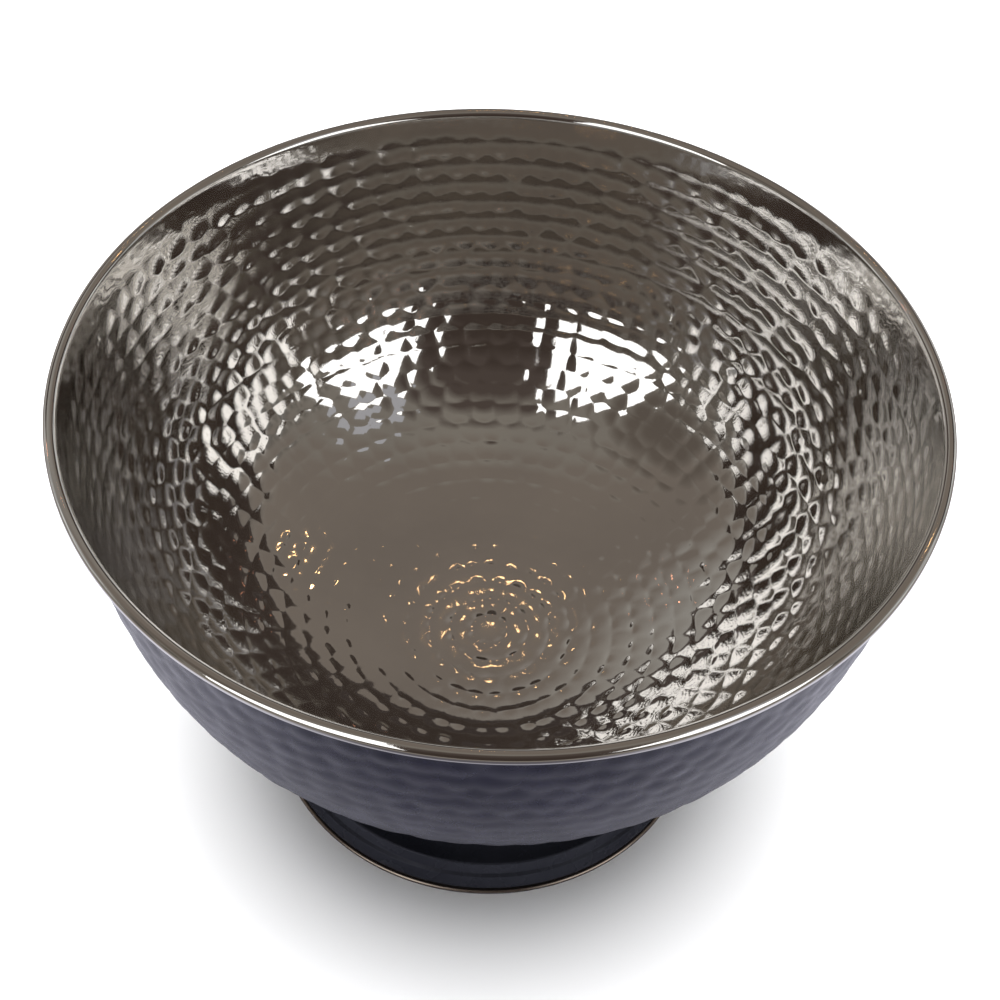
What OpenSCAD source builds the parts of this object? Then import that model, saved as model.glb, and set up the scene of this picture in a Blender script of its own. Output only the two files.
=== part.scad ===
// Footed hammered bowl: a sheet-metal bowl with a wired rolled rim, a dark coat outside,
// and a stepped, flared foot brazed under it. Millimetres, +Z up, z = 0 is the table.
// Every piece is a solid of revolution about Z.

/* [Bowl] */
// Outside diameter over the rolled rim
rim_d = 400; // [300:5:480]
// Height from the table to the top of the rim
overall_h = 257; // [200:1:320]
// Height of the bowl's underside above the table, at its centre
underside_h = 70.5; // [50:0.5:90]
// Thickness of the bowl's sheet
sheet_t = 1.0; // [0.8:0.1:1.5]
// Fullness of the belly: 2 is an ellipse, more is squarer
fullness = 2.62; // [2:0.02:3.4]
// How far the lip flares outward below the rim
lip_flare = 5; // [0:0.2:8]
// Height over which the lip flares
lip_h = 95; // [40:5:150]

/* [Rim] */
// Outside diameter of the rolled bead
bead_d = 6; // [4:0.5:9]

/* [Foot] */
// Outside diameter of the foot at the table
foot_d = 230.4; // [180:0.2:280]
// Diameter of the foot's neck
neck_d = 124; // [90:1:150]
// Thickness of the foot's sheet
foot_t = 1.2; // [0.8:0.1:2]
// Height of the folded hem that stands on the table
hem_h = 2.6; // [2:0.2:4]
// Width of the folded hem
hem_w = 4.2; // [3.8:0.2:6]
// How far the lower tier stands in from the hem's edge
tier_inset = 1.4; // [0.8:0.1:3]
// Depth of the groove between the hem and the lower tier
groove_depth = 1.0; // [0.4:0.1:1.4]
// Height of the groove above the hem
groove_h = 1.8; // [1:0.2:3]
// Height of the lower tier, above the groove
tier_h = 7.2; // [4:0.2:12]
// Height of the upper tier
upper_tier_h = 5.4; // [3:0.2:10]
// How far each tier leans inward
tier_lean = 1.8; // [0.5:0.1:4]
// Width of the ledge between the tiers
ledge_w = 1.8; // [0.5:0.1:4]
// Rise of the ledge and of each rounded corner of the tiers
ledge_rise = 0.8; // [0.4:0.1:1.2]
// Width of the flange that is brazed under the bowl
flange_w = 10; // [5:1:20]

/* [Finish] */
// Thickness of the dark coat
coat_t = 0.3; // [0.2:0.05:0.5]
// Leg of the braze fillet
fillet = 3; // [2:0.5:6]

/* [Hidden] */
$fn = 128;

wall_steps = 56;      // straight facets along the bowl's outline
sweep_steps = 22;     // straight facets along the foot's flare
flange_steps = 4;     // straight facets across the flange
bead_r = bead_d / 2;
wire_r = bead_r - sheet_t;
rim_x = rim_d / 2 - bead_r;                 // centre of the bead, from the axis
rim_z = overall_h - bead_r;                 // centre of the bead, above the table
lip_r = rim_x - bead_r + sheet_t;           // outside of the wall where it meets the bead
belly_r = lip_r - lip_flare;
wall_depth = rim_z - underside_h;
neck_r = neck_d / 2;
flange_r = neck_r - flange_w;
foot_r = foot_d / 2;
tier_r = foot_r - tier_inset - coat_t;
groove_r = tier_r - groove_depth;
groove_top = hem_h + groove_h;
ledge_z = groove_top + tier_h;
upper_r = tier_r - tier_lean - ledge_w;
sweep_r = upper_r - tier_lean - ledge_rise;
sweep_z = ledge_z + ledge_rise + upper_tier_h + ledge_rise / 2;
joint_z = wall_z(neck_r);                   // where the neck meets the underside
flange_z = wall_z(flange_r);                // where the flange ends under the bowl
seat = 0.1;                                 // how far the flange is drawn into the bowl, then trimmed
past = 1;                                   // how far a shape runs into the one that trims it

// Height of the bowl's outside surface at radius r, for the lower part of the wall
function wall_z(r) = rim_z - wall_depth * pow(1 - pow(r / belly_r, fullness), 1 / fullness);

// Outward flare of the lip at height z
function flare(z) = lip_flare * pow(max(0, 1 - (rim_z - z) / lip_h), 3);

// Outside of the bowl's sheet at angle a, from 0 at the bottom to 90 at the rim
function wall_point(a) =
    let (z = rim_z - wall_depth * pow(cos(a), 2 / fullness))
    [belly_r * pow(sin(a), 2 / fullness) + flare(z), z];
wall = [for (i = [0:wall_steps]) wall_point(90 * i / wall_steps)];

// Outside of the foot's flare at t, from 0 at the tiers to 1 at the neck
function sweep_point(t) =
    [neck_r + (sweep_r - neck_r) * (1 - sin(90 * t)),
     sweep_z + (joint_z + seat - sweep_z) * (1 - cos(90 * t))];

// Top of the flange at t, from 0 at the neck to 1 at its free edge
function flange_point(t) =
    let (r = neck_r - flange_w * t)
    [r, wall_z(r) + seat];

// Outside of the foot's sheet, from the hem up and round under the bowl
foot_line = concat(
    [[groove_r, hem_h - foot_t], [groove_r, groove_top],
     [tier_r, groove_top + ledge_rise / 2], [tier_r - tier_lean, ledge_z],
     [upper_r, ledge_z + ledge_rise], [upper_r - tier_lean, sweep_z - ledge_rise / 2]],
    [for (i = [0:sweep_steps]) sweep_point(i / sweep_steps)],
    [for (i = [1:flange_steps]) flange_point(i / flange_steps)]);

// Unit vector of v, and the right-hand side of a step from a to b
function unit(v) = v / norm(v);
function side(a, b) = unit([b[1] - a[1], a[0] - b[0]]);

// Where point i of outline p goes when the outline moves sideways by t
function moved(p, i, t) =
    let (last = len(p) - 1,
         n0 = side(p[max(0, i - 1)], p[max(1, i)]),
         n1 = side(p[min(last - 1, i)], p[min(last, i + 1)]),
         n = unit(n0 + n1))
    p[i] + n * t / max(0.5, n * n1);
function on_axis(q) = [q[0] < 1 ? 0 : q[0], q[1]];
function offset_line(p, t) = [for (i = [0:len(p) - 1]) on_axis(moved(p, i, t))];
function reversed(p) = [for (i = [len(p) - 1:-1:0]) p[i]];

// The strip between two offsets of an outline
module strip(p, t0, t1) {
    polygon(concat(offset_line(p, t0), reversed(offset_line(p, t1))));
}

// The bowl's outside outline filled in to the axis
module bowl_filled(t) {
    polygon(concat(offset_line(wall, t), [[0, rim_z]]));
}

module bead_at(r) {
    translate([rim_x, rim_z]) circle(r);
}

// One sheet: the wall, and its edge rolled into a bead
module hammered_bowl() {
    color("silver") rotate_extrude() difference() {
        union() {
            strip(wall, 0, -sheet_t);
            bead_at(bead_r);
        }
        bead_at(wire_r);
    }
}

// Wire that the edge is rolled round
module rim_wire() {
    color("dimgray") rotate_extrude() bead_at(wire_r);
}

// Dark coat on the bowl's outside, from the foot's neck to the bead
module bowl_coat() {
    color("#2e3038") rotate_extrude() difference() {
        strip(wall, 0, coat_t);
        bead_at(bead_r);
        square([neck_r, joint_z + past]);
    }
}

// Folded hem with a flat underside and a rounded outer edge
module hem_outline() {
    translate([foot_r - hem_w, 0]) square([hem_w - hem_h / 2, hem_h]);
    translate([foot_r - hem_h / 2, hem_h / 2]) circle(hem_h / 2);
}

// Spun foot: hem, groove, two tiers and a flare up to a flange under the bowl
module foot() {
    color("gray") rotate_extrude() difference() {
        union() {
            hem_outline();
            strip(foot_line, 0, -foot_t);
        }
        bowl_filled(0);
    }
}

// Dark coat on the foot's outside, from the groove to the neck
module foot_coat() {
    color("#2e3038") rotate_extrude() difference() {
        strip(foot_line, 0, coat_t);
        hem_outline();
        bowl_filled(coat_t);
    }
}

// Braze fillet inside the foot, in the corner between its flange and the bowl
module braze_ring() {
    color("tan") rotate_extrude() difference() {
        polygon([[flange_r + foot_t, flange_z - foot_t], [flange_r + foot_t, flange_z + past],
                 [flange_r - fillet, flange_z + past],
                 [flange_r - fillet, wall_z(flange_r - fillet)],
                 [flange_r, flange_z - foot_t]]);
        strip(foot_line, 0, -foot_t);
        bowl_filled(0);
    }
}

hammered_bowl();
rim_wire();
bowl_coat();
foot();
foot_coat();
braze_ring();
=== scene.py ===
# %% [markdown]
# # A hammered bowl on a foot
# The real bowl is one sheet of bright white metal. It is hammered in rings from the middle to the
# rim, its edge is rolled round a wire, and it stands on a spun foot. This lesson builds its looks
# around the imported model, which gives every size and place. We load that model first, because
# everything that follows is measured from it.

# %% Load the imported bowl
import math

import bmesh
import bpy
import numpy as np
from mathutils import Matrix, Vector


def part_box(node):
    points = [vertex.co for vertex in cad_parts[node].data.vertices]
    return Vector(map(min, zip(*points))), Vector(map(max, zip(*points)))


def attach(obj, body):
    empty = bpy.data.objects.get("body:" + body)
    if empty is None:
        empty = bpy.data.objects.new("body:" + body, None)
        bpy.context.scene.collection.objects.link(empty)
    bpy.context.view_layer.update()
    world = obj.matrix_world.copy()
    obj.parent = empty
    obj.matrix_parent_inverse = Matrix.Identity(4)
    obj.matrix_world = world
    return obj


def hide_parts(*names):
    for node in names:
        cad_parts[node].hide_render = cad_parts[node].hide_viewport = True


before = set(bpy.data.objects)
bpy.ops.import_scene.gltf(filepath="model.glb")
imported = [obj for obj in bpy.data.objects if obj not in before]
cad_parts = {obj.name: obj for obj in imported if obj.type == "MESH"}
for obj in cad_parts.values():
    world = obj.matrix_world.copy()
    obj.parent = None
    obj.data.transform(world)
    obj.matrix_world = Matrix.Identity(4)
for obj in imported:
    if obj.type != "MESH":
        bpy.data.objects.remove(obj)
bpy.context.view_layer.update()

# %% [markdown]
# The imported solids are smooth, as a drawing would be. The real sheet has hundreds of marks, each a
# shallow dish that the hammer's round face left. They can't be modelled one by one, so we need the
# smooth shape as a formula first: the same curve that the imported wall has. The marks are then
# pressed into a mesh that follows it.

# %% Sizes, in metres
bowl_low, bowl_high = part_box("hammered_bowl")
SHEET = 0.001            # thickness of the bowl's sheet
COAT = 0.0003            # thickness of the dark coat
WIRE_R = 0.002           # wire inside the rolled rim
BEAD_R = WIRE_R + SHEET
BEAD_X = bowl_high.x - BEAD_R
BEAD_Z = bowl_high.z - BEAD_R
FULLNESS = 2.62          # 2 is an ellipse, more is squarer
LIP_FLARE = 0.0050       # how far the lip flares outward below the rim
LIP_H = 0.095            # height over which it flares
BELLY_R = BEAD_X - WIRE_R - LIP_FLARE
WALL_DEPTH = BEAD_Z - bowl_low.z
NECK_R = 0.062           # radius of the foot's neck, where it meets the bowl
print(f"rim {2 * bowl_high.x:.3f} across, bead centre at {BEAD_X:.4f}, {BEAD_Z:.4f}")


# %% The wall's curve
def wall_point(turn):
    """Outside of the sheet, as radius and height: turn 0 is the bottom, 1 is the rim."""
    angle = turn * math.pi / 2
    height = BEAD_Z - WALL_DEPTH * max(0.0, math.cos(angle)) ** (2 / FULLNESS)
    flare = LIP_FLARE * max(0.0, 1 - (BEAD_Z - height) / LIP_H) ** 3
    return BELLY_R * math.sin(angle) ** (2 / FULLNESS) + flare, height


def wall_line(offset, samples=3000):
    """The curve moved by offset to the inside of the bowl: distance along it, radius and height."""
    points = np.array([wall_point(i / samples) for i in range(samples + 1)])
    along = np.gradient(points, axis=0)
    along /= np.linalg.norm(along, axis=1)[:, None]
    points += offset * np.stack([-along[:, 1], along[:, 0]], axis=1)
    points[0] = (0.0, points[0, 1])
    points[:, 0] = np.maximum(points[:, 0], 0)
    steps = np.linalg.norm(np.diff(points, axis=0), axis=1)
    distance = np.concatenate([[0], np.cumsum(steps)])
    return {"s": distance, "r": points[:, 0], "z": points[:, 1]}


def place_on(line, s):
    """Radius and height at distance s along a line, measured from the middle of the bowl."""
    return float(np.interp(s, line["s"], line["r"])), float(np.interp(s, line["s"], line["z"]))


inner_line = wall_line(SHEET)
back_line = wall_line(0.0)
coat_line = wall_line(-COAT)
print(f"from the middle to the rim along the inside: {inner_line['s'][-1] * 1000:.1f} mm")


# %% [markdown]
# Almost every piece of this bowl is turned about one axis. In Blender that is a profile, drawn by
# extruding one vertex again and again, and then a Screw modifier with no rise, which turns it once
# round the axis and is much faster than the Spin tool on so many steps. Fine steps are needed only
# where there are marks, so the sheet is turned as several bands, with fewer steps towards the
# middle, and the bands are bridged.

# %% Helpers for turned pieces
SAME_PLACE = 1e-5        # two points closer than this are one


def deselect_all():
    if bpy.context.object and bpy.context.object.mode != "OBJECT":
        bpy.ops.object.mode_set(mode="OBJECT")
    bpy.ops.object.select_all(action="DESELECT")


def pick(piece):
    """Makes one piece the only selected and active object."""
    deselect_all()
    piece.select_set(True)
    bpy.context.view_layer.objects.active = piece


def spun_band(name, outline, steps, closed=False):
    """Draws an outline of (radius, height) points and turns it once round the axis."""
    deselect_all()
    bpy.ops.mesh.primitive_plane_add(size=0.001, location=(0, 0, 0))
    band = bpy.context.object
    band.name = name
    bpy.ops.object.mode_set(mode="EDIT")
    bpy.ops.mesh.select_mode(type="VERT")
    bpy.ops.mesh.select_all(action="SELECT")
    bpy.ops.mesh.merge(type="CENTER")
    radius, height = outline[0]
    bpy.ops.transform.translate(value=(radius, 0, height))
    for next_radius, next_height in outline[1:]:
        move = (next_radius - radius, 0, next_height - height)
        bpy.ops.mesh.extrude_region_move(TRANSFORM_OT_translate={"value": move})
        radius, height = next_radius, next_height
    if closed:
        shape = bmesh.from_edit_mesh(band.data)
        ends = [v for v in shape.verts if len(v.link_edges) == 1]
        shape.edges.new(ends)
        bmesh.update_edit_mesh(band.data)
    bpy.ops.mesh.select_all(action="SELECT")
    bpy.ops.object.mode_set(mode="OBJECT")
    lathe = band.modifiers.new("lathe", "SCREW")
    lathe.axis = "Z"
    lathe.angle = 2 * math.pi
    lathe.screw_offset = 0
    lathe.steps = lathe.render_steps = steps
    lathe.use_merge_vertices = True
    lathe.merge_threshold = 1e-6
    bpy.ops.object.modifier_apply(modifier=lathe.name)
    band["first"], band["last"] = outline[0], outline[-1]
    return band


def bridge_bands(name, bands, ring=False):
    """Joins bands, in order along the profile, and fills the gaps; a ring closes on itself."""
    gaps = [(band["last"][:], after["first"][:]) for band, after in zip(bands, bands[1:])]
    if ring:
        gaps.append((bands[-1]["last"][:], bands[0]["first"][:]))
    deselect_all()
    for band in bands:
        band.select_set(True)
    whole = bands[0]
    bpy.context.view_layer.objects.active = whole
    bpy.ops.object.join()
    whole.name = name
    bpy.ops.object.mode_set(mode="EDIT")
    bpy.ops.mesh.select_mode(type="EDGE")
    for one, other in gaps:
        bpy.ops.mesh.select_all(action="DESELECT")
        shape = bmesh.from_edit_mesh(whole.data)
        for edge in shape.edges:
            if edge.is_boundary:
                here = [(v.co.xy.length, v.co.z) for v in edge.verts]
                edge.select = any(all(math.dist(h, end) < SAME_PLACE for h in here)
                                  for end in (one, other))
        bmesh.update_edit_mesh(whole.data)
        bpy.ops.mesh.bridge_edge_loops()
    bpy.ops.mesh.select_all(action="SELECT")
    bpy.ops.mesh.normals_make_consistent(inside=False)
    bpy.ops.object.mode_set(mode="OBJECT")
    return whole


def report_mesh(piece):
    faces = piece.data.polygons
    triangles = sum(len(p.vertices) - 2 for p in faces)
    shape = bmesh.new()
    shape.from_mesh(piece.data)
    open_edges = sum(1 for e in shape.edges if not e.is_manifold)
    shape.free()
    print(f"{piece.name}: {triangles} triangles, {open_edges} open edges")


# %% [markdown]
# The smith starts at the middle and works outward, one ring at a time, turning the bowl a little
# after each blow. So the rings are even, the marks in a ring are nearly so, and each mark laps over
# the ring before it. We draw the blows from a seeded generator: a ring's width, how many marks go
# round it, and for each mark a small error of place and force.

# %% The hammer's rings
RING_W = 0.0111          # from one ring of marks to the next
FIRST_RING = 0.0095      # radius of the single mark in the middle
SMOOTH_LIP = 0.0125      # band under the rim that isn't hammered
MARK_W_FLOOR = 0.0118    # width of a mark near the middle
MARK_W_WALL = 0.0152     # width of a mark on the wall
WIDTH_RISE = (0.06, 0.11)    # radius where the marks start to widen, and how far on they are wide
chance = np.random.default_rng(26)

hammered_end = inner_line["s"][-1] - SMOOTH_LIP
ring_count = round((hammered_end - FIRST_RING) / RING_W)
ring_step = (hammered_end - FIRST_RING) / ring_count


def up_wall(radius, rise):
    """How far a radius is from the floor, 0, to the wall, 1, for a (start, width) pair."""
    start, width = rise
    return np.clip((radius - start) / width, 0, 1)


def ring_of_marks(index):
    """One ring: where it is, and the place, force and size of each of its marks."""
    middle = FIRST_RING + (index + 0.5) * ring_step
    radius = place_on(inner_line, middle)[0]
    width = MARK_W_FLOOR + (MARK_W_WALL - MARK_W_FLOOR) * float(up_wall(radius, WIDTH_RISE))
    count = max(6, round(2 * math.pi * radius / width * chance.uniform(0.96, 1.05)))
    return {
        "middle": middle, "radius": radius, "count": count,
        "turn": chance.uniform(0, 1),
        "aside": chance.normal(0, 0.10, count).clip(-0.22, 0.22),
        "along": chance.normal(0, 0.0003, count).clip(-0.0007, 0.0007),
        "force": chance.normal(1, 0.13, count).clip(0.68, 1.35),
        "spread": chance.normal(1, 0.05, count).clip(0.88, 1.12),
        "lap": chance.uniform(0.35, 1.25, count),
    }


rings = [ring_of_marks(k) for k in range(ring_count)]
print(ring_count, "rings,", sum(ring["count"] for ring in rings), "marks")


# %% [markdown]
# A round face leaves a shallow dish, and where two dishes meet there is a ridge. So the depth at
# any place is that of the deepest dish there, each a paraboloid. The side of a mark towards the
# middle is rounder, like a fish's scale, because that side was struck last and lies over the ring
# before. Near the middle the dishes are shallow and the laps between them stand up sharply; on the
# wall it is the other way round. The same function makes the outside, where each dish shows as a
# soft bulge.

# %% How deep the hammer went
RING_REACH = 0.65        # half height of a dish, in ring widths
MARK_REACH = 0.53        # half width of a dish, in mark widths
SCALE_SHAPE = 0.34       # how much narrower a mark is towards the middle of the bowl
UNTOUCHED = -0.22        # how far the metal between the dishes stands up, in depths
CREASE_FLOOR = 2.7       # height of the lap at a mark's lower edge, in depths, near the middle
CREASE_WALL = 0.07       # the same on the wall, where the sheet gives more
CREASE_FRONT = 0.21      # its steep side, in ring widths
CREASE_BACK = 0.34       # its gentle side
CREASE_HALF_W = 0.32     # half width of the lap, in mark widths
CREASE_RISE = (0.07, 0.07)   # radius where the laps start to get lower, and how far on they are low
MIDDLE_FORCE = 1.1       # depth of the single mark in the middle, in depths
MIDDLE_REACH = 1.12      # its radius, in radii of the first ring
RING_NEAR = 1.3          # how far from a ring its marks can reach, in ring widths
FADE_PAST = 0.35         # how far past the last ring the marks end, in ring widths
FADE_LENGTH = 0.5        # over how far they fade out


def dish_depths(s, turn, softness=None):
    """Depth of the marks at distance s and angle turn, where 1 is a plain mark's depth.

    With a softness the dishes blend into each other, as under a coat, and the laps stay low.
    """

    def deeper(a, b):
        if softness is None:
            return np.maximum(a, b)
        return np.logaddexp(a * softness, b * softness) / softness

    deepest = np.full(len(s), UNTOUCHED)
    radius = np.interp(s, inner_line["s"], inner_line["r"])
    middle_mark = MIDDLE_FORCE * (1 - (s / (FIRST_RING * MIDDLE_REACH)) ** 2)
    deepest = deeper(deepest, middle_mark)
    laps = np.zeros(len(s))
    for ring in rings:
        near = np.abs(s - ring["middle"]) < RING_NEAR * ring_step
        if not near.any():
            continue
        here_s, here_turn, here_radius = s[near], turn[near], radius[near]
        step = 2 * math.pi / ring["count"]
        mark_w = step * ring["radius"]
        cell = np.floor(here_turn / step - ring["turn"]).astype(int)
        found = deepest[near]
        for beside in (-1, 0, 1):
            mark = (cell + beside) % ring["count"]
            centre = (cell + beside + 0.5 + ring["turn"] + ring["aside"][mark]) * step
            across = (here_turn - centre) * here_radius
            up = here_s - ring["middle"] - ring["along"][mark]
            half_up = RING_REACH * ring_step * ring["spread"][mark]
            half_across = MARK_REACH * mark_w * ring["spread"][mark]
            lower = np.clip(-up / half_up, -1, 1)
            narrow = 1 + SCALE_SHAPE * lower
            dish = 1 - narrow * (across / half_across) ** 2 - (up / half_up) ** 2
            found = deeper(found, ring["force"][mark] * np.maximum(dish, -1))
            lap_at = (here_s - ring["middle"]) / ring_step + 0.5
            lap = np.clip(np.minimum(1 + lap_at / CREASE_FRONT, 1 - lap_at / CREASE_BACK), 0, 1)
            wide = np.clip(1 - (across / (CREASE_HALF_W * mark_w)) ** 2, 0, 1)
            laps[near] = np.maximum(laps[near], ring["lap"][mark] * lap * wide)
        deepest[near] = found
    fade = np.clip((hammered_end + FADE_PAST * ring_step - s) / (FADE_LENGTH * ring_step), 0, 1)
    crease = CREASE_FLOOR + (CREASE_WALL - CREASE_FLOOR) * up_wall(radius, CREASE_RISE)
    if softness is not None:
        crease = CREASE_WALL     # a coat has filled the laps
    return (deepest - crease * laps) * fade * fade * (3 - 2 * fade)


# %% Press the marks into a face
ON_FACE = 5e-5           # how near to the face a vertex lies that is moved


def press_marks(piece, line, depth_at):
    """Moves the vertices on a line's surface along their normals, by Displace modifiers.

    A modifier can only use weights from 0 to 1. So the first one moves each vertex by its own
    share of the whole range, and the second moves all of them alike to where the range starts.
    """
    mesh = piece.data
    co = np.empty(len(mesh.vertices) * 3)
    mesh.vertices.foreach_get("co", co)
    co = co.reshape(-1, 3)
    radius = np.hypot(co[:, 0], co[:, 1])
    key = line["r"] + line["z"]
    s = np.interp(radius + co[:, 2], key, line["s"])
    off = np.hypot(radius - np.interp(s, line["s"], line["r"]),
                   co[:, 2] - np.interp(s, line["s"], line["z"]))
    on_face = np.nonzero(off < ON_FACE)[0]
    turn = np.arctan2(co[on_face, 1], co[on_face, 0])
    depth = depth_at(s[on_face], turn)
    low, high = float(depth.min()), float(depth.max())
    marks = piece.vertex_groups.new(name="marks")
    weight = (depth - low) / (high - low)
    for vertex, value in zip(on_face.tolist(), weight.tolist()):
        marks.add([vertex], value, "REPLACE")
    whole = piece.vertex_groups.new(name="whole")
    whole.add(on_face.tolist(), 1.0, "REPLACE")
    pick(piece)
    for group, strength in ((marks, high - low), (whole, low)):
        press = piece.modifiers.new("press", "DISPLACE")
        press.mid_level = 0
        press.strength = strength
        press.direction = "NORMAL"
        press.vertex_group = group.name
        bpy.ops.object.modifier_apply(modifier=press.name)
    piece.vertex_groups.clear()
    print(f"{piece.name}: {len(on_face)} vertices moved, {low * 1000:.2f} to {high * 1000:.2f} mm")


# %% [markdown]
# Now the sheet itself: the hammered inside in four bands, then one profile that goes on up the
# smooth lip, round the wire as a real curl with its free edge tucked under, and down the back to
# the middle again. The curl is drawn and not faked with a ring, because its tucked edge is what
# gives the thin dark line under the rim.

# %% Stations along the inside
IN_RING = (0, 0.08, 0.22, 0.42, 0.62, 0.78, 0.87, 0.935)   # close together near each ridge
BAND_STEPS = (75, 150, 300, 540)
BAND_RINGS = (2, 5, 9)    # the ring of marks at which each finer band starts
LIP_STEPS = 300
BACK_STEPS = 150
BACK_POINTS = 14          # points of a profile down the smooth back of the sheet


def stations(first_ring, last_ring):
    """Distances along the inside, with one exactly on each ridge between rings."""
    within = [ring + part for ring in range(first_ring, last_ring) for part in IN_RING]
    return [FIRST_RING + ring_step * place for place in within + [last_ring]]


middle_part = [FIRST_RING * (i / 5) for i in range(5)]    # inside the single mark
edges = (0,) + BAND_RINGS + (ring_count,)
sheet_bands = []
for number, steps in enumerate(BAND_STEPS):
    line = stations(edges[number], edges[number + 1])
    line = middle_part + line if number == 0 else line[1:]
    outline = [place_on(inner_line, s) for s in line]
    sheet_bands.append(spun_band(f"inside_{number}", outline, steps))
    print(f"band {number}: {len(outline)} rings of {steps}")


# %% The lip, the curl and the back
def arc(centre_x, centre_z, radius, first, last, count):
    """Points on an arc, in degrees from the +radius direction, both ends included."""
    angles = [math.radians(first + (last - first) * i / count) for i in range(count + 1)]
    return [(centre_x + radius * math.cos(a), centre_z + radius * math.sin(a)) for a in angles]


CURL_END = -127          # where the curl's free edge stops, just short of the wall
BACK_TOP = 0.003         # how far down from the rim the back's profile starts
lip_part = [place_on(inner_line, hammered_end + SMOOTH_LIP * t) for t in (0.3, 0.6, 0.85)]
curl_outside = arc(BEAD_X, BEAD_Z, BEAD_R, 180, CURL_END, 18)
curl_inside = arc(BEAD_X, BEAD_Z, WIRE_R, CURL_END, 172, 5)
sheet_bands.append(spun_band("lip", lip_part + curl_outside + curl_inside, LIP_STEPS))

back_s = np.linspace(back_line["s"][-1] - BACK_TOP, 0, BACK_POINTS)
back_outline = [place_on(back_line, s) for s in back_s]
back_outline[-1] = (0.0, back_outline[-1][1])
sheet_bands.append(spun_band("back", back_outline, BACK_STEPS))

bowl_sheet = bridge_bands("bowl_sheet", sheet_bands)
report_mesh(bowl_sheet)

# %% Hammer the inside
MARK_DEPTH_WALL = 0.00050
MARK_DEPTH_FLOOR = 0.00014
DEPTH_RISE = (0.07, 0.09)    # radius where they start to get deeper, and how far on they are deep


def inside_depth(s, turn):
    """How far the inside face goes out at a place; outward is against its normal."""
    radius = np.interp(s, inner_line["s"], inner_line["r"])
    depth = MARK_DEPTH_FLOOR + (MARK_DEPTH_WALL - MARK_DEPTH_FLOOR) * up_wall(radius, DEPTH_RISE)
    return -depth * dish_depths(s, turn)


press_marks(bowl_sheet, inner_line, inside_depth)


# %% [markdown]
# The outside of the same sheet shows every mark again, as a low soft bulge under a dark coat. The
# coat is a piece of its own: a thin shell with a hammered outer face. It takes its marks from the
# same rings, so a bulge lies exactly behind each dish. The coat has filled the sharp parts, so the
# dishes are blended into each other and not cut off at a ridge.

# %% The dark coat's bulges
BULGE = 0.00046          # height over a plain dish
SOFTNESS = 18            # higher is sharper


def bulge_height(s_coat, turn):
    """How far the coat stands out at a distance along it, which the inside's rings are found by."""
    s = np.interp(s_coat, coat_line["s"], inner_line["s"])
    return BULGE * dish_depths(s, turn, SOFTNESS)


# %% The coat's shell
COAT_STEPS = 600
COAT_STEPS_PER_RING = 5
COAT_TOP = BEAD_Z - 0.00252     # just under the rolled rim
COAT_BACK_TOP = 0.0025          # how far down from the rim the shell's inner side starts
COAT_EDGE_RISE = 0.00006        # how much its top edge is rounded up

coat_start = float(np.interp(NECK_R, coat_line["r"], coat_line["s"]))
coat_lip = float(np.interp(hammered_end, inner_line["s"], coat_line["s"]))
coat_top = float(np.interp(COAT_TOP, coat_line["z"], coat_line["s"]))
coat_rings = round((coat_lip - coat_start) / ring_step * COAT_STEPS_PER_RING)
coat_face = [place_on(coat_line, s) for s in np.linspace(coat_start, coat_lip, coat_rings)]
coat_hem = [place_on(coat_line, s) for s in np.linspace(coat_lip, coat_top, 5)[1:]]
edge_r, edge_z = coat_hem[-1]
coat_hem += [(edge_r - inward, edge_z + COAT_EDGE_RISE) for inward in (0.0001, 0.0002)]
coat_back = np.linspace(back_line["s"][-1] - COAT_BACK_TOP, coat_start, BACK_POINTS)
coat_inside = [place_on(back_line, s) for s in coat_back]
bowl_coat = bridge_bands("dark_bowl_coat", [
    spun_band("coat_face", coat_face, COAT_STEPS),
    spun_band("coat_hem", coat_hem + coat_inside, LIP_STEPS),
], ring=True)
press_marks(bowl_coat, coat_line, bulge_height)
report_mesh(bowl_coat)


# %% [markdown]
# Hand work isn't perfectly round. The rolled rim wanders a few tenths of a millimetre, which shows
# in the reflections along it. A gentle wave, fading out down the wall, is added to the rim of both
# pieces alike, so that they still touch.

# %% Let the rim wander
RIM_WAVES = ((2, 0.00016, 0.4), (3, 0.00012, 2.1), (5, 0.00007, 0.9), (9, 0.00005, 1.7),
             (14, 0.00003, 0.2), (23, 0.00002, 2.9))    # waves round the rim, size, place
WAVE_FADE = 0.03         # how far down the wall the waves fade out
RIM_DIP = 0.0002         # how far the rim dips at the most, on top of that
WAVE_MOST = 0.0004       # about the highest that the waves add up to


def wander_rim(piece):
    for vertex in piece.data.vertices:
        near = 1 - (BEAD_Z - vertex.co.z) / WAVE_FADE
        if near <= 0:
            continue
        near = min(1, near) ** 2
        turn = math.atan2(vertex.co.y, vertex.co.x)
        wave = sum(size * math.sin(count * turn + start) for count, size, start in RIM_WAVES)
        out = wave * near / vertex.co.xy.length
        vertex.co.x *= 1 + out
        vertex.co.y *= 1 + out
        vertex.co.z -= RIM_DIP * near * (1 + wave / WAVE_MOST) * 0.5


for piece in (bowl_sheet, bowl_coat):
    wander_rim(piece)

# %% [markdown]
# The foot is spun too: a folded hem that stays bare and bright, a groove, two leaning tiers with a
# ledge between them, and a flare that sweeps in to the neck. Its outline is written down once, and
# the sheet and the coat are both cut from it, as offsets. The corners are then rounded by a Bevel
# modifier, as a spinner's roller would leave them.

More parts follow.
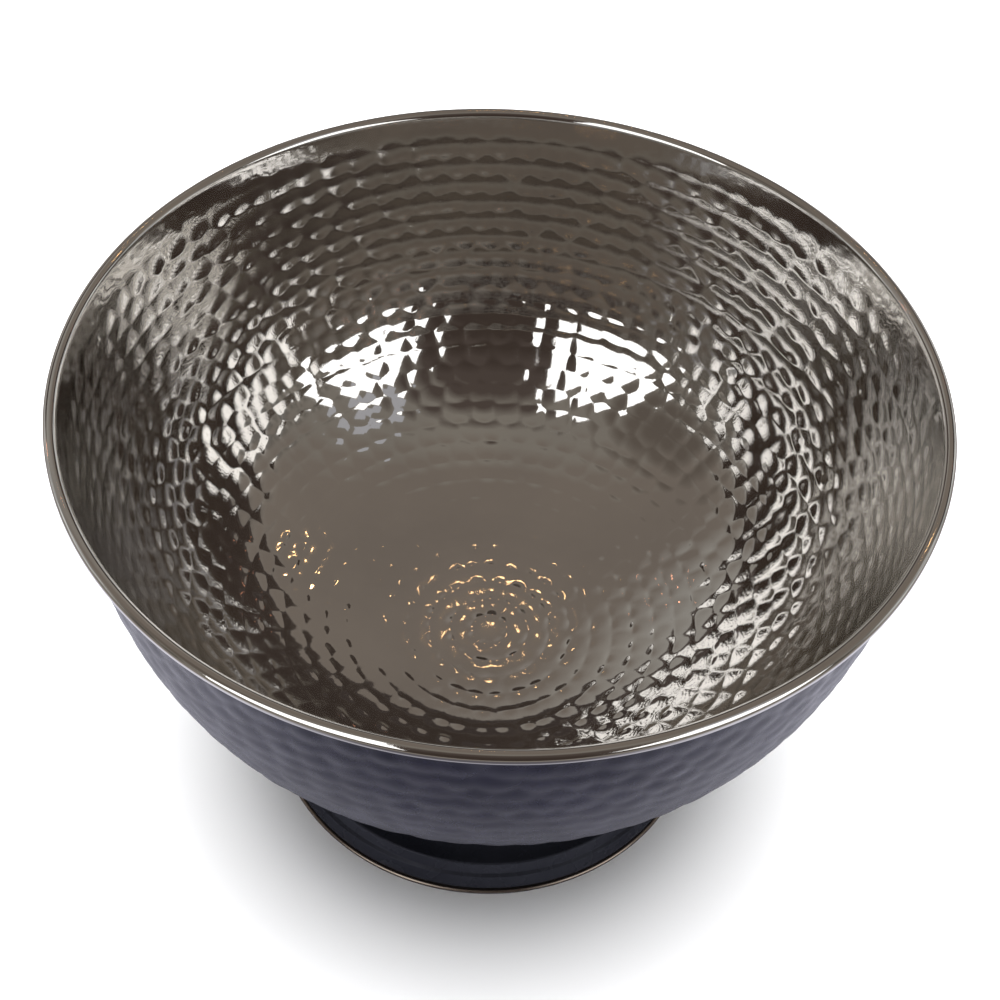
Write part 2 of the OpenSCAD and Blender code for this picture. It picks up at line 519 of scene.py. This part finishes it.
# %% The foot's outline
FOOT_SHEET = 0.0012
HEM_H = 0.0026
HEM_W = 0.0042
TIER_INSET = 0.0014
GROOVE_DEPTH = 0.0010
GROOVE_H = 0.0018
TIER_H = 0.0072
UPPER_TIER_H = 0.0054
TIER_LEAN = 0.0018
LEDGE_W = 0.0018
LEDGE_RISE = 0.0008
FLANGE_W = 0.010
CORNER_W = 0.00035       # width of a rounded corner
foot_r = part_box("foot")[1].x
tier_r = foot_r - TIER_INSET - COAT
groove_r = tier_r - GROOVE_DEPTH
groove_top = HEM_H + GROOVE_H
ledge_z = groove_top + TIER_H
upper_r = tier_r - TIER_LEAN - LEDGE_W
sweep_r = upper_r - TIER_LEAN - LEDGE_RISE
sweep_z = ledge_z + LEDGE_RISE * 1.5 + UPPER_TIER_H


def underside_z(radius):
    return float(np.interp(radius, back_line["r"], back_line["z"]))


joint_z = underside_z(NECK_R)


def sweep_point(t):
    """The flare's outside, t from 0 at the tiers to 1 at the neck."""
    return (NECK_R + (sweep_r - NECK_R) * (1 - math.sin(t * math.pi / 2)),
            sweep_z + (joint_z - sweep_z) * (1 - math.cos(t * math.pi / 2)))


tiers = [(groove_r, HEM_H), (groove_r, groove_top),
         (tier_r, groove_top + LEDGE_RISE / 2), (tier_r - TIER_LEAN, ledge_z),
         (upper_r, ledge_z + LEDGE_RISE), (upper_r - TIER_LEAN, sweep_z - LEDGE_RISE / 2)]
flare = [sweep_point(i / 30) for i in range(31)]
flange = [(r, underside_z(r)) for r in (NECK_R - FLANGE_W * t for t in (0.33, 0.67, 1))]


def offset_outline(points, distance):
    """The outline moved sideways; to the right of its direction is positive."""
    p = np.array(points)
    ahead = np.diff(p, axis=0)
    ahead /= np.linalg.norm(ahead, axis=1)[:, None]
    side = np.stack([ahead[:, 1], -ahead[:, 0]], axis=1)
    before = np.vstack([side[:1], side])
    after = np.vstack([side, side[-1:]])
    mean = before + after
    mean /= np.linalg.norm(mean, axis=1)[:, None]
    stretch = distance / np.maximum(0.5, (mean * after).sum(axis=1))
    return [tuple(q) for q in p + mean * stretch[:, None]]


# %% The foot and its coat
FOOT_STEPS = 360


def round_corners(piece):
    bevel = piece.modifiers.new("round", "BEVEL")
    bevel.width = CORNER_W
    bevel.segments = 3
    bevel.limit_method = "ANGLE"
    bevel.angle_limit = math.radians(14)
    pick(piece)
    bpy.ops.object.modifier_apply(modifier=bevel.name)


def recalculate(piece):
    pick(piece)
    bpy.ops.object.mode_set(mode="EDIT")
    bpy.ops.mesh.select_all(action="SELECT")
    bpy.ops.mesh.normals_make_consistent(inside=False)
    bpy.ops.object.mode_set(mode="OBJECT")


outside = tiers + flare + flange
inside = offset_outline(outside, -FOOT_SHEET)
hem_inner = foot_r - HEM_W
hem_round = arc(foot_r - HEM_H / 2, HEM_H / 2, HEM_H / 2, -90, 90, 10)
foot_section = hem_round + outside + inside[:1:-1] + [(hem_inner, HEM_H), (hem_inner, 0)]
foot = spun_band("spun_foot", foot_section, FOOT_STEPS, closed=True)
recalculate(foot)
round_corners(foot)
report_mesh(foot)

coated = tiers + flare
coat_section = offset_outline(coated, COAT) + coated[::-1]
foot_coat = spun_band("dark_foot_coat", coat_section, FOOT_STEPS, closed=True)
recalculate(foot_coat)
round_corners(foot_coat)
report_mesh(foot_coat)

# %% [markdown]
# Smooth shading hides the facets. The hammered faces are smooth all over, because a ridge between
# dishes is narrow but never a knife edge. The foot keeps its tight corners by a smaller angle.

# %% Shading
for piece, angle in ((bowl_sheet, 70), (bowl_coat, 50), (foot, 40), (foot_coat, 40)):
    pick(piece)
    bpy.ops.object.shade_smooth_by_angle(angle=math.radians(angle))


# %% [markdown]
# The bright metal is white with a slightly warm cast. A mirror finish is never perfect: hand
# buffing leaves it a little wavy and a little uneven in gloss, with hair-fine scratches. All of
# this is very faint, or it would turn into a satin finish.

# %% Helpers for materials
def new_material(name):
    material = bpy.data.materials.new(name)
    material.use_nodes = True
    tree = material.node_tree
    return material, tree, tree.nodes["Principled BSDF"]


def add(tree, kind, **settings):
    """A node with some of its properties or sockets set."""
    node = tree.nodes.new(kind)
    for key, value in settings.items():
        if key in node.inputs:
            node.inputs[key].default_value = value
        else:
            setattr(node, key, value)
    return node


def noise(tree, where, scale, detail=3.0, rough=0.5):
    texture = add(tree, "ShaderNodeTexNoise", Scale=scale, Detail=detail, Roughness=rough)
    tree.links.new(where, texture.inputs["Vector"])
    return texture.outputs["Fac"]


def remap(tree, value, old, new):
    """Brings a value from one range to another, and keeps it inside the new one."""
    node = add(tree, "ShaderNodeMapRange")
    for socket, number in zip(("From Min", "From Max", "To Min", "To Max"), (*old, *new)):
        node.inputs[socket].default_value = number
    tree.links.new(value, node.inputs["Value"])
    return node.outputs["Result"]


def colour_ramp(tree, value, stops):
    """A colour that follows a value through (position, colour) stops."""
    ramp = add(tree, "ShaderNodeValToRGB")
    elements = ramp.color_ramp.elements
    for number, (position, colour) in enumerate(stops):
        stop = elements[number] if number < 2 else elements.new(position)
        stop.position = position
        stop.color = (*colour, 1)
    tree.links.new(value, ramp.inputs["Fac"])
    return ramp.outputs["Color"]


def bump(tree, height, distance, strength=1.0, under=None):
    node = add(tree, "ShaderNodeBump", Strength=strength, Distance=distance)
    tree.links.new(height, node.inputs["Height"])
    if under is not None:
        tree.links.new(under, node.inputs["Normal"])
    return node.outputs["Normal"]


def object_place(tree):
    return add(tree, "ShaderNodeTexCoord").outputs["Object"]


def length_of(tree, vector):
    node = add(tree, "ShaderNodeVectorMath", operation="LENGTH")
    tree.links.new(vector, node.inputs[0])
    return node.outputs["Value"]


def turned_place(tree):
    """Radius and height as a vector, so that a pattern on it runs in rings, as turning marks do."""
    place = object_place(tree)
    parts = add(tree, "ShaderNodeSeparateXYZ")
    tree.links.new(place, parts.inputs[0])
    flat = add(tree, "ShaderNodeCombineXYZ")
    tree.links.new(parts.outputs["X"], flat.inputs["X"])
    tree.links.new(parts.outputs["Y"], flat.inputs["Y"])
    ring = add(tree, "ShaderNodeCombineXYZ")
    tree.links.new(length_of(tree, flat.outputs[0]), ring.inputs["X"])
    tree.links.new(parts.outputs["Z"], ring.inputs["Z"])
    return ring.outputs[0]


# %% Polished metal
NOISE_MIDDLE = (0.35, 0.65)    # a noise texture is mostly between these values
NOISE_WIDE = (0.3, 0.7)        # and hardly ever outside these
SHARE = (0, 1)


def polished_metal():
    material, tree, shader = new_material("polished_white_metal")
    place = object_place(tree)
    shader.inputs["Metallic"].default_value = 1.0
    cast = remap(tree, noise(tree, place, 14, 4), NOISE_MIDDLE, SHARE)
    colour = colour_ramp(tree, cast, ((0, (0.60, 0.585, 0.565)), (1, (0.66, 0.642, 0.615))))
    tree.links.new(colour, shader.inputs["Base Color"])
    gloss = remap(tree, noise(tree, place, 45, 5, 0.6), NOISE_WIDE, (0.035, 0.085))
    tree.links.new(gloss, shader.inputs["Roughness"])
    buffing = bump(tree, noise(tree, place, 260, 2, 0.5), 0.00006, 0.35)
    rings = noise(tree, turned_place(tree), 2600, 2, 0.6)
    tree.links.new(bump(tree, rings, 0.000004, 0.25, buffing), shader.inputs["Normal"])
    return material


# %% [markdown]
# The dark coat is a satin lacquer, nearly black with some blue in it. Seen close it has a fine
# orange-peel surface, and its shade and gloss change a little from place to place. On the foot the
# fine rings of the spinning show through it.

# %% Dark coats
def dark_coat(name, first, second, spun):
    material, tree, shader = new_material(name)
    place = object_place(tree)
    shade = remap(tree, noise(tree, place, 22, 4), NOISE_MIDDLE, SHARE)
    colour = colour_ramp(tree, shade, ((0, first), (1, second)))
    tree.links.new(colour, shader.inputs["Base Color"])
    shader.inputs["Specular IOR Level"].default_value = 0.20
    shader.inputs["Specular Tint"].default_value = (0.84, 0.85, 1.0, 1)
    gloss = remap(tree, noise(tree, place, 70, 4), NOISE_WIDE, (0.22, 0.32))
    tree.links.new(gloss, shader.inputs["Roughness"])
    peel = bump(tree, noise(tree, place, 900, 3, 0.6), 0.00003, 0.35)
    if spun:
        lines = noise(tree, turned_place(tree), 1500, 3, 0.6)
        peel = bump(tree, lines, 0.00002, 0.4, peel)
    tree.links.new(peel, shader.inputs["Normal"])
    return material


# %% Bare foot metal, wire and braze
def turned_metal(name, first, second, line_scale, gloss_range, line_depth):
    """Metal with the fine rings that spinning, drawing or turning leaves."""
    material, tree, shader = new_material(name)
    shader.inputs["Metallic"].default_value = 1.0
    cast = remap(tree, noise(tree, object_place(tree), 30, 4), NOISE_MIDDLE, SHARE)
    colour = colour_ramp(tree, cast, ((0, first), (1, second)))
    tree.links.new(colour, shader.inputs["Base Color"])
    lines = noise(tree, turned_place(tree), line_scale, 4, 0.65)
    gloss = remap(tree, lines, NOISE_WIDE, gloss_range)
    tree.links.new(gloss, shader.inputs["Roughness"])
    tree.links.new(bump(tree, lines, line_depth, 0.5), shader.inputs["Normal"])
    return material


def dress(piece, material):
    piece.data.materials.clear()
    piece.data.materials.append(material)


COAT_BLUE = ((0.0050, 0.0050, 0.0120), (0.0075, 0.0075, 0.0170))
FOOT_BLACK = ((0.0170, 0.0178, 0.0240), (0.0260, 0.0272, 0.0350))
# the bare foot metal is darker and browner than the bowl's steel: painted shade and a painted warm
# reflection on bright steel
BARE_METAL_PAINTED_SHADE = ((0.20, 0.165, 0.14), (0.30, 0.25, 0.21))
WIRE_GREY = ((0.36, 0.36, 0.36), (0.46, 0.45, 0.44))
BRAZE_GOLD = ((0.50, 0.41, 0.22), (0.66, 0.56, 0.33))
dress(bowl_sheet, polished_metal())
dress(bowl_coat, dark_coat("dark_satin_coat", *COAT_BLUE, spun=False))
dress(foot_coat, dark_coat("dark_spun_coat", *FOOT_BLACK, spun=True))
dress(foot, turned_metal("spun_bare_metal", *BARE_METAL_PAINTED_SHADE, 1400, (0.18, 0.32), 0.00002))
dress(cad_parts["rim_wire"],
      turned_metal("drawn_wire", *WIRE_GREY, 2500, (0.25, 0.4), 0.00001))
dress(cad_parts["braze_ring"],
      turned_metal("braze_metal", *BRAZE_GOLD, 500, (0.35, 0.6), 0.0001))

# %% Join the pieces to the frame
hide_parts("hammered_bowl")
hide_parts("bowl_coat")
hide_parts("foot")
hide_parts("foot_coat")
for piece in (bowl_sheet, bowl_coat, foot, foot_coat):
    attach(piece, "root")
    print(piece.name, "rides on the root body")


# %% [markdown]
# Polished metal has hardly any look of its own: it shows the room. So the room is modelled as the
# metal would see it: a pale floor that is dark where the bowl shades it, a dim warm ceiling, patchy
# walls that are pale low down, two big soft lights in front on either side, dark panels behind, and
# a few small warm lamps. All of this is hidden from the camera, which sees only a plain pale floor
# and background, the same in every view.

# %% The floor and the background
FAR_FLOOR = (0.5, 1.6)    # from which distance the floor starts to glow, and where it is full


def plain_material(name, colour, glow):
    """One colour all over: matt, or glowing where a glow is given."""
    material = bpy.data.materials.new(name)
    material.use_nodes = True
    tree = material.node_tree
    tree.nodes.clear()
    out = add(tree, "ShaderNodeOutputMaterial")
    if glow:
        shader = add(tree, "ShaderNodeEmission", Color=(*colour, 1), Strength=glow)
    else:
        shader = add(tree, "ShaderNodeBsdfDiffuse", Color=(*colour, 1))
    tree.links.new(shader.outputs[0], out.inputs["Surface"])
    return material


def floor_material():
    """Pale and matt; far away it glows a little, so that it stays pale where the light ends."""
    material = plain_material("pale_floor", (0.86, 0.86, 0.87), 0)
    tree = material.node_tree
    out = tree.nodes["Material Output"]
    matt = out.inputs["Surface"].links[0].from_socket
    glow = add(tree, "ShaderNodeEmission", Color=(1, 1, 1, 1))
    far = remap(tree, length_of(tree, object_place(tree)), FAR_FLOOR, SHARE)
    tree.links.new(far, glow.inputs["Strength"])
    both = add(tree, "ShaderNodeAddShader")
    tree.links.new(matt, both.inputs[0])
    tree.links.new(glow.outputs[0], both.inputs[1])
    tree.links.new(both.outputs[0], out.inputs["Surface"])
    return material


deselect_all()
bpy.ops.mesh.primitive_circle_add(vertices=96, radius=6, fill_type="NGON", location=(0, 0, 0))
floor = bpy.context.object
floor.name = "floor"
dress(floor, floor_material())
floor.visible_glossy = False

world = bpy.data.worlds.new("studio")
bpy.context.scene.world = world
world.use_nodes = True
world.node_tree.nodes["Background"].inputs["Color"].default_value = (1, 1, 1, 1)
world.node_tree.nodes["Background"].inputs["Strength"].default_value = 1.0
world.cycles_visibility.glossy = False
world.cycles_visibility.diffuse = False

# %% The room that the metal sees
ROOM_R = 3.0


def only_in_reflections(thing):
    """Hides a thing from the camera, and keeps its light off everything but the shiny pieces."""
    thing.visible_camera = False
    thing.visible_shadow = False
    thing.visible_transmission = False
    thing.visible_diffuse = False


def sky_direction(right, away):
    """A direction from how far it leans from straight up, in degrees, to the right and away."""
    lean = math.hypot(right, away)
    turn = math.atan2(right, away)
    z = math.cos(math.radians(lean))
    side = math.sin(math.radians(lean))
    return Vector((side * math.sin(turn), side * math.cos(turn), z))


def glow_material(name):
    """An emission material without a colour yet: its tree, and the socket to link a colour to."""
    material = bpy.data.materials.new(name)
    material.use_nodes = True
    tree = material.node_tree
    tree.nodes.clear()
    glow = add(tree, "ShaderNodeEmission", Strength=1.0)
    out = add(tree, "ShaderNodeOutputMaterial")
    tree.links.new(glow.outputs[0], out.inputs["Surface"])
    return material, tree, glow.inputs["Color"]


def mix_colours(tree, amount, first, second, blend="MIX"):
    """A Mix node between two colours; the second may be a plain colour instead of a socket."""
    node = add(tree, "ShaderNodeMix", data_type="RGBA", blend_type=blend)
    factor, one, other = node.inputs[0], node.inputs[6], node.inputs[7]
    tree.links.new(amount, factor)
    tree.links.new(first, one)
    if isinstance(second, tuple):
        other.default_value = (*second, 1)
    else:
        tree.links.new(second, other)
    return node.outputs[2]


CEILING = (0.232, 0.198, 0.170)
DIM = (0.095, 0.074, 0.064)
# the walls' colours, by height: 0 is level with the floor, 1 is straight up
ROOM_STOPS = ((0.0, (0.90, 0.90, 0.90)), (0.33, (0.85, 0.845, 0.83)), (0.43, (0.56, 0.54, 0.51)),
              (0.53, (0.27, 0.24, 0.21)), (0.66, CEILING), (1.0, (0.222, 0.188, 0.161)))
# dim places: how far right and away they lean, where they start to fade, where they end, colour
DIM_PLACES = ((5, -46, 16, 30, DIM), (3, -76, 18, 36, (0.062, 0.046, 0.038)),
              (-38, 60, 22, 40, (0.40, 0.38, 0.35)), (-42, -16, 6, 20, (0.15, 0.125, 0.105)))
LOW_FRONT = (0.26, 0.235, 0.205)     # the whole front of the room, where it isn't pale low down
FRONT_FROM = (0.05, -0.20)           # where the front starts and is full: 0 is beside the bowl
PATCHY_FROM = (0.62, 0.42)           # height below which the walls get patchy
PATCHES = (1.10, 0.40)               # how bright the patches are, lightest and darkest


def room_shell():
    """A dome that glows: warm and dim overhead, pale low down, with soft dark places."""
    deselect_all()
    bpy.ops.mesh.primitive_uv_sphere_add(segments=48, ring_count=24, radius=ROOM_R)
    dome = bpy.context.object
    dome.name = "room"
    material, tree, colour_socket = glow_material("room_glow")
    unit = add(tree, "ShaderNodeVectorMath", operation="NORMALIZE")
    tree.links.new(object_place(tree), unit.inputs[0])
    parts = add(tree, "ShaderNodeSeparateXYZ")
    tree.links.new(unit.outputs[0], parts.inputs[0])
    walls = colour_ramp(tree, parts.outputs["Z"], ROOM_STOPS)
    front = remap(tree, parts.outputs["Y"], FRONT_FROM, SHARE)
    walls = mix_colours(tree, front, walls, LOW_FRONT)
    low = remap(tree, parts.outputs["Z"], PATCHY_FROM, SHARE)
    patches = remap(tree, noise(tree, unit.outputs[0], 7, 3), (0.4, 0.6), PATCHES)
    shade = mix_colours(tree, low, walls, patches, "MULTIPLY")
    for right, away, inner, outer, colour in DIM_PLACES:
        towards = add(tree, "ShaderNodeVectorMath", operation="DOT_PRODUCT")
        towards.inputs[1].default_value = sky_direction(right, away)
        tree.links.new(unit.outputs[0], towards.inputs[0])
        edge = (math.cos(math.radians(outer)), math.cos(math.radians(inner)))
        amount = remap(tree, towards.outputs["Value"], edge, SHARE)
        shade = mix_colours(tree, amount, shade, colour)
    tree.links.new(shade, colour_socket)
    dress(dome, material)
    only_in_reflections(dome)


# painted light and shadow of the floor at each distance from the axis, in metres: dark under the
# bowl, white beyond, dimmer far off
FLOOR_STOPS = ((0.115, (0.10, 0.10, 0.12)), (0.24, (0.92, 0.91, 1.04)), (0.50, (0.95, 0.94, 1.05)),
               (0.72, (0.30, 0.27, 0.24)))
# painted shade on it in front: where, its colour, and from which distance it starts and is full
FLOOR_PAINTED_SHADE_AT = (0, -0.56, 0)
FLOOR_PAINTED_SHADE = (0.15, 0.14, 0.16)
FLOOR_PAINTED_SHADE_FROM = (0.44, 0.20)


def floor_in_the_metal():
    """The floor as the metal shows it: painted white light, with painted shadow where the bowl
    shades it and painted shade in front.
    """
    deselect_all()
    bpy.ops.mesh.primitive_circle_add(vertices=64, radius=ROOM_R, fill_type="NGON",
                                      location=(0, 0, -0.001))
    disc = bpy.context.object
    disc.name = "floor_in_reflections"
    material, tree, colour_socket = glow_material("floor_glow")
    far = remap(tree, length_of(tree, object_place(tree)), SHARE, SHARE)
    pale = colour_ramp(tree, far, FLOOR_STOPS)
    away = add(tree, "ShaderNodeVectorMath", operation="DISTANCE")
    away.inputs[1].default_value = FLOOR_PAINTED_SHADE_AT
    tree.links.new(object_place(tree), away.inputs[0])
    amount = remap(tree, away.outputs["Value"], FLOOR_PAINTED_SHADE_FROM, SHARE)
    tree.links.new(mix_colours(tree, amount, pale, FLOOR_PAINTED_SHADE), colour_socket)
    dress(disc, material)
    only_in_reflections(disc)


def panel(name, corners, distance, colour, glow):
    """A glowing sheet whose corners lie in given directions, as (right, away) leans."""
    first, second, third, fourth = [sky_direction(*corner) * distance for corner in corners]
    deselect_all()
    bpy.ops.mesh.primitive_plane_add(size=1, location=(0, 0, 0))
    sheet = bpy.context.object
    sheet.name = name
    for vertex, point in zip(sheet.data.vertices, (first, second, fourth, third)):
        vertex.co = point    # a plane's vertices go row by row, and not round it
    dress(sheet, plain_material(name + "_glow", colour, glow))
    only_in_reflections(sheet)


def lamp(name, right, away, distance, radius, colour, glow):
    deselect_all()
    bpy.ops.mesh.primitive_ico_sphere_add(subdivisions=2, radius=radius,
                                          location=sky_direction(right, away) * distance)
    bulb = bpy.context.object
    bulb.name = name
    dress(bulb, plain_material(name + "_glow", colour, glow))
    only_in_reflections(bulb)


room_shell()
floor_in_the_metal()
SOFT_WHITE = (1.0, 1.0, 1.0)
panel("soft_light_left", ((-52, -34), (-12, -24), (-18, -70), (-64, -46)), 1.9, SOFT_WHITE, 2.2)
panel("soft_light_right", ((30, -25), (64, -20), (70, -42), (28, -62)), 1.9, SOFT_WHITE, 2.2)
panel("grey_card", ((26, -13), (38, -10), (38, -24), (26, -24)), 1.95, (0.5, 0.5, 0.53), 1.0)
DARK_WALL = (0.060, 0.047, 0.042)
DARK_WALL_LEFT = (0.085, 0.066, 0.058)
panel("dark_behind", ((-12, 47), (22, 47), (24, 62), (-14, 62)), 2.0, DARK_WALL, 1.0)
panel("dark_beside_right", ((22, 46), (56, 18), (64, 22), (28, 60)), 2.05, DARK_WALL, 1.0)
panel("dark_beside_left", ((-12, 47), (-50, 28), (-58, 36), (-16, 61)), 2.05,
      DARK_WALL_LEFT, 1.0)
GOLD = (1.0, 0.60, 0.27)
EMBER = (1.0, 0.42, 0.24)
lamp("warm_lamp_right", 28, 28, 1.9, 0.026, GOLD, 14)
lamp("warm_lamp_left", -23, 30, 1.9, 0.009, EMBER, 10)
lamp("warm_lamp_side", -54, 28, 1.9, 0.03, EMBER, 7)
lamp("warm_lamp_over", 0, 34, 1.9, 0.008, GOLD, 26)
for number, (right, away) in enumerate(((34, 42), (22, 51), (9, 53), (44, 33))):
    lamp(f"ember_{number}", right, away, 1.85, 0.014, EMBER, 1.6)

# %% [markdown]
# The floor and the coat are lit from overhead by one large soft light, which leaves a soft pool of
# shadow under the bowl, and by a weak one in front. Both are kept out of the reflections, because
# the real ceiling was dim.

# %% Overhead and front lights
def soft_light(name, location, aim, size, power):
    data = bpy.data.lights.new(name, "AREA")
    data.shape = "DISK"
    data.size = size
    data.energy = power
    light = bpy.data.objects.new(name, data)
    bpy.context.scene.collection.objects.link(light)
    light.location = location
    light.rotation_euler = (Vector(aim) - Vector(location)).to_track_quat("-Z", "Y").to_euler()
    light.visible_camera = False
    light.visible_glossy = False


soft_light("overhead", (0, 0.12, 2.4), (0, 0, 0), 2.7, 215)
soft_light("front_fill", (0, -2.2, 0.9), (0, 0, 0.1), 1.4, 24)

# %% The camera
camera_data = bpy.data.cameras.new("camera")
camera_data.sensor_width = 36
camera_data.lens = 61.63
camera = bpy.data.objects.new("camera", camera_data)
camera.location = (0.0, -0.5436, 0.7876)
camera.rotation_euler = (math.radians(41.499), math.radians(-2.149), math.radians(2.247))
bpy.context.scene.collection.objects.link(camera)
bpy.context.scene.camera = camera
bpy.context.scene.view_settings.view_transform = "Standard"
bpy.context.scene.cycles.glossy_bounces = 10
